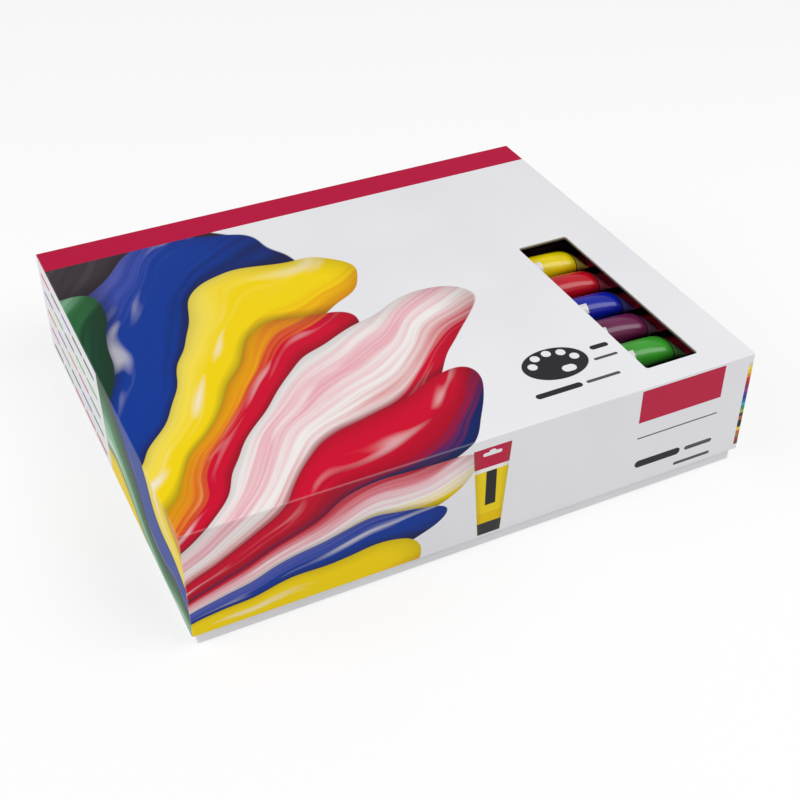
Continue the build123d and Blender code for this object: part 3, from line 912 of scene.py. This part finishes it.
def tube_skin(name, paint=None, label_end=LABEL_END):
    """The printed laminate of a tube, in one paint or in the paint its mesh carries."""
    material, tree, shader = new_material(name, Roughness=0.2, IOR=1.5)
    place = add(tree, "Attribute", attribute_name="tube_place").outputs["Vector"]
    if paint is None:
        base = add(tree, "Attribute", attribute_name="paint").outputs["Color"]
    else:
        base = add(tree, "RGB")
        base.outputs[0].default_value = linear(paint)
    plug(tree, shader, printed_skin(tree, place, base, label_end), skin_bump(tree, place))
    return material


print("label about", round(LABEL_END - LABEL_START), "mm long, left blank")

# %% [markdown]
# Each tube of the top tray is a piece of its own and takes its place from the box of its CAD
# node. The tubes of a lower tray lie at the same places one tray pitch lower, so they are the
# same rings again, joined into the three groups that the solids have.

# %% Places of the tubes
NECK = 3.0
AXIS_ABOVE_LOWEST = TUBE_RADIUS
PITCH = (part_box("tray_top")[0].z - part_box("tray_middle")[0].z) / MM


def lies_along_y(node):
    """Whether a tube's CAD node is longer from front to back than across."""
    low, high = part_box(node)
    return high.y - low.y > high.x - low.x


def tube_matrix(node, drop=0.0):
    """Where a tube's own millimetres go, from the box of its CAD node."""
    low, high = (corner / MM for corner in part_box(node))
    axis_height = low.z + AXIS_ABOVE_LOWEST - drop
    if lies_along_y(node):
        start = Matrix.Translation(((low.x + high.x) / 2, low.y - NECK, axis_height))
        return start @ Matrix.Rotation(math.pi / 2, 4, "Z")
    return Matrix.Translation((low.x - NECK, (low.y + high.y) / 2, axis_height))


def make_tubes(name, places, paints, material):
    """One mesh piece of tubes, each moved to its place and carrying its paint."""
    points, faces, marks, colours = [], [], [], []
    for matrix, paint in zip(places, paints):
        turn = np.array(matrix)
        start = len(points) * len(TUBE_POINTS)
        points.append(TUBE_POINTS @ turn[:3, :3].T + turn[:3, 3])
        faces += [tuple(i + start for i in face) for face in TUBE_FACES]
        marks.append(TUBE_POINTS)
        colours.append(np.tile(paint, (len(TUBE_POINTS), 1)))
    mesh = bpy.data.meshes.new(name)
    mesh.from_pydata((np.concatenate(points) * MM).tolist(), [], faces)
    for attribute, kind, field, values in (
        ("tube_place", "FLOAT_VECTOR", "vector", marks),
        ("paint", "FLOAT_COLOR", "color", colours),
    ):
        layer = mesh.attributes.new(attribute, kind, "POINT")
        layer.data.foreach_set(field, np.concatenate(values).ravel())
    work = bmesh.new()
    work.from_mesh(mesh)
    bmesh.ops.recalc_face_normals(work, faces=work.faces)
    work.to_mesh(mesh)
    work.free()
    mesh.shade_smooth()
    mesh.materials.append(material)
    piece = bpy.data.objects.new(name, mesh)
    bpy.context.scene.collection.objects.link(piece)
    return piece


print("tray pitch", round(PITCH, 2), "mm")

# %% Tubes of the top tray
COLUMN_ROWS = 10
columns = {
    "left": [f"tube_left_{row:02d}" for row in range(1, COLUMN_ROWS + 1)],
    "middle": [f"tube_middle_{row:02d}" for row in range(1, COLUMN_ROWS + 1)],
    "right": [f"tube_{name}" for name in WINDOW_PAINTS],
}
assorted_skin = tube_skin("laminate_gloss_assorted_paints")
for column, first in (("left", 0), ("middle", COLUMN_ROWS)):
    for row, node in enumerate(columns[column]):
        paints = [linear(PAINTS[first + row])]
        piece = make_tubes(f"paint_{node}", [tube_matrix(node)], paints, assorted_skin)
        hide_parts(node)
        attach(piece, "tray_top")
for name, paint in WINDOW_PAINTS.items():
    node = f"tube_{name}"
    skin = tube_skin(f"laminate_gloss_{name}", paint, LABEL_ENDS.get(name, LABEL_END))
    piece = make_tubes(f"paint_{node}", [tube_matrix(node)], [linear(paint)], skin)
    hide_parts(node)
    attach(piece, "tray_top")
print(sum(len(nodes) for nodes in columns.values()), "tubes in the top tray")

# %% Tubes of the lower trays
LOWER_TRAYS = (("middle", 1, "#F4F2EC", 0.3), ("bottom", 2, "#2A1E22", 0.45))


def toned(paint, toward, share):
    """A paint mixed with another, as a tint or a shade of it."""
    return tuple(a + (b - a) * share for a, b in zip(linear(paint), linear(toward)))


for tray, level, toward, share in LOWER_TRAYS:
    row_of_paints = [toned(paint, toward, share) for paint in PAINTS + EARTHS]
    for number, (column, nodes) in enumerate(columns.items()):
        first = number * COLUMN_ROWS
        paints = row_of_paints[first : first + COLUMN_ROWS]
        places = [tube_matrix(node, level * PITCH) for node in nodes]
        piece = make_tubes(f"paint_tubes_{tray}_{column}", places, paints, assorted_skin)
        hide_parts(f"{tray}_tubes_{column}")
        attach(piece, f"tray_{tray}")
print("as many again in each of", len(LOWER_TRAYS), "lower trays")

# %% [markdown]
# The set stands on a plain white table. The camera and the reflections see the table almost
# white, while a part of it still takes light, so the box keeps a soft shadow under it.

# %% Table
FLOOR_SIZE = 12.0
FLOOR_DROP = 0.0003
SHADOW_SHARE = 0.3
half = FLOOR_SIZE / 2
floor_corners = [(-half, -half), (half, -half), (half, half), (-half, half)]
floor_mesh = bpy.data.meshes.new("table_top")
floor_mesh.from_pydata([(*corner, -FLOOR_DROP) for corner in floor_corners], [], [(0, 1, 2, 3)])
floor = bpy.data.objects.new("table_top", floor_mesh)
bpy.context.scene.collection.objects.link(floor)
floor_material = bpy.data.materials.new("table_white_lacquer")
floor_material.use_nodes = True
tree = floor_material.node_tree
tree.nodes.clear()
rays = add(tree, "LightPath").outputs
inputs = {0: rays["Is Glossy Ray"], 1: rays["Is Transmission Ray"]}
mirrored = add(tree, "Math", inputs, operation="MAXIMUM")
seen = add(tree, "Math", {0: rays["Is Camera Ray"], 1: mirrored}, operation="MAXIMUM")
inputs = {"Factor": seen, "A": linear("#E7E7E7"), "B": linear("#FFFFFF")}
table_colour = add(tree, "Mix", inputs, data_type="RGBA")
lit = add(tree, "BsdfDiffuse", {"Color": table_colour, "Roughness": 0.0})
plain = add(tree, "Emission", {"Color": (1, 1, 1, 1), "Strength": 1.0})
share = add(tree, "Math", {0: seen, 1: 1 - SHADOW_SHARE}, operation="MULTIPLY")
surface = add(tree, "MixShader", {0: share, 1: lit, 2: plain})
add(tree, "OutputMaterial", {"Surface": surface})
floor_mesh.materials.append(floor_material)
floor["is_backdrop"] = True
print("table", FLOOR_SIZE, "m square")

# %% [markdown]
# Soft studio light: a bright even surround, a wide softbox high in front that draws the long
# glints on the tubes, and a second one on the left, because the left face is lighter than the
# front in the photograph's view.

# %% Surround
SURROUND = 0.46
world = bpy.data.worlds.new("studio_surround")
bpy.context.scene.world = world
world.use_nodes = True
tree = world.node_tree
tree.nodes.clear()
rays = add(tree, "LightPath").outputs
inputs = {0: rays["Is Camera Ray"], 1: rays["Is Transmission Ray"]}
seen = add(tree, "Math", inputs, operation="MAXIMUM")
inputs = {0: seen, 1: 1 - SURROUND, 2: SURROUND}
strength = add(tree, "Math", inputs, operation="MULTIPLY_ADD")
background = add(tree, "Background", {"Color": (1, 1, 1, 1), "Strength": strength})
add(tree, "OutputWorld", {"Surface": background})
print("surround strength", SURROUND)

# %% Softboxes
SOFTBOX_WATTS = 13.5


def softbox(name, position, target, width, height):
    """A rectangular lamp that faces a point of the set."""
    lamp = bpy.data.lights.new(name, "AREA")
    lamp.shape = "RECTANGLE"
    lamp.size = width
    lamp.size_y = height
    lamp.energy = SOFTBOX_WATTS
    box = bpy.data.objects.new(name, lamp)
    box.location = position
    toward_target = Vector(target) - Vector(position)
    box.rotation_euler = toward_target.to_track_quat("-Z", "Y").to_euler()
    bpy.context.scene.collection.objects.link(box)


softbox("softbox_high_front", (0.6, -0.78, 1.45), (0.1, 0, 0.05), 1.2, 1.1)
softbox("softbox_left", (-1.7, 0.3, 1.1), (-0.1, 0, 0.05), 1.2, 1.2)
print("two softboxes of", SOFTBOX_WATTS, "W")

# %% [markdown]
# The camera stands in front of the set, to its left and well above it, at the angle of the
# photograph: about 26 degrees round to the left and 38 degrees up.

# %% Camera
CAMERA_AZIMUTH = math.radians(-25.965)
CAMERA_ELEVATION = math.radians(37.976)
CAMERA_PLACE = (-0.2934, -0.6381, 0.5522)
LENS = 58.03
camera_data = bpy.data.cameras.new("camera")
camera_data.sensor_width = 36.0
camera_data.lens = LENS
camera = bpy.data.objects.new("camera", camera_data)
bpy.context.scene.collection.objects.link(camera)
toward_camera = Vector(
    (
        math.sin(CAMERA_AZIMUTH) * math.cos(CAMERA_ELEVATION),
        -math.cos(CAMERA_AZIMUTH) * math.cos(CAMERA_ELEVATION),
        math.sin(CAMERA_ELEVATION),
    )
)
camera.location = CAMERA_PLACE
camera.rotation_mode = "QUATERNION"
camera.rotation_quaternion = (-toward_camera).to_track_quat("-Z", "Y")
bpy.context.scene.camera = camera
bpy.context.scene.view_settings.view_transform = "Standard"
print("camera at", CAMERA_PLACE, "m, lens", LENS, "mm")

# %% Sizes
low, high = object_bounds()
print("visual box in mm:", [round(v / MM, 1) for v in (*low, *high)])
